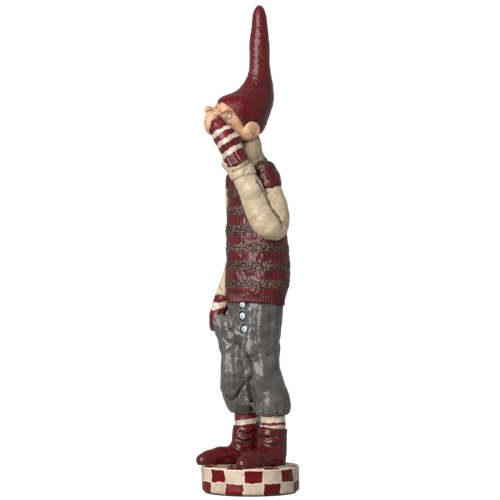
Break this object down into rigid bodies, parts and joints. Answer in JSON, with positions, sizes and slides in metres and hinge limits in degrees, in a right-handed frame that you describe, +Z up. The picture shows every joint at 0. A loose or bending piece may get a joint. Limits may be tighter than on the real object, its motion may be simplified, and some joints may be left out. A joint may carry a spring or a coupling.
{
  "type": "tomte gnome figurine",
  "caption": "Tall thin painted folk gnome on a round chequered base, one hand cupped at the mouth, with a long pointed hat.",
  "frame": {"origin": "centre of the flat underside of the round base", "axes": "+Z up along the figure towards the tip of the hat, chest facing -Y, the figure's own left side towards +X"},
  "size_m": [0.06, 0.0609, 0.298],
  "materials": {
    "checked_paint": "glossy",
    "felt": "matte",
    "crimson_paint": "glossy",
    "striped_paint": "glossy",
    "grey_paint": "glossy",
    "blue_paint": "glossy",
    "knit_paint": "glossy",
    "cream_paint": "satin",
    "flesh_paint": "satin",
    "eye_bead": "glossy",
    "steel_wire": "brushed"
  },
  "bodies": {
    "root": {"base_disc": "checked_paint", "felt_pad": "felt", "left_shoe": "crimson_paint", "right_shoe": "crimson_paint", "left_sock": "striped_paint", "right_sock": "striped_paint", "trousers": "grey_paint", "trouser_button_upper": "blue_paint", "trouser_button_middle": "blue_paint", "trouser_button_lower": "blue_paint", "sweater": "knit_paint", "left_cap_sleeve": "knit_paint", "right_cap_sleeve": "knit_paint", "left_sleeve": "cream_paint", "left_sleeve_cuff": "cream_paint", "left_wrist_warmer": "striped_paint", "left_hand": "flesh_paint", "right_sleeve": "cream_paint", "right_wrist_warmer": "striped_paint", "collar": "cream_paint", "head": "flesh_paint", "nose": "flesh_paint", "left_ear": "flesh_paint", "right_ear": "flesh_paint", "left_eye": "eye_bead", "right_eye": "eye_bead", "hat": "crimson_paint", "left_leg_rod": "steel_wire", "right_leg_rod": "steel_wire", "spine_rod": "steel_wire", "hat_pin": "steel_wire", "left_arm_pin": "steel_wire", "right_arm_pin": "steel_wire", "left_wrist_pin": "steel_wire", "right_wrist_pin": "steel_wire"}
  },
  "joints": []
}
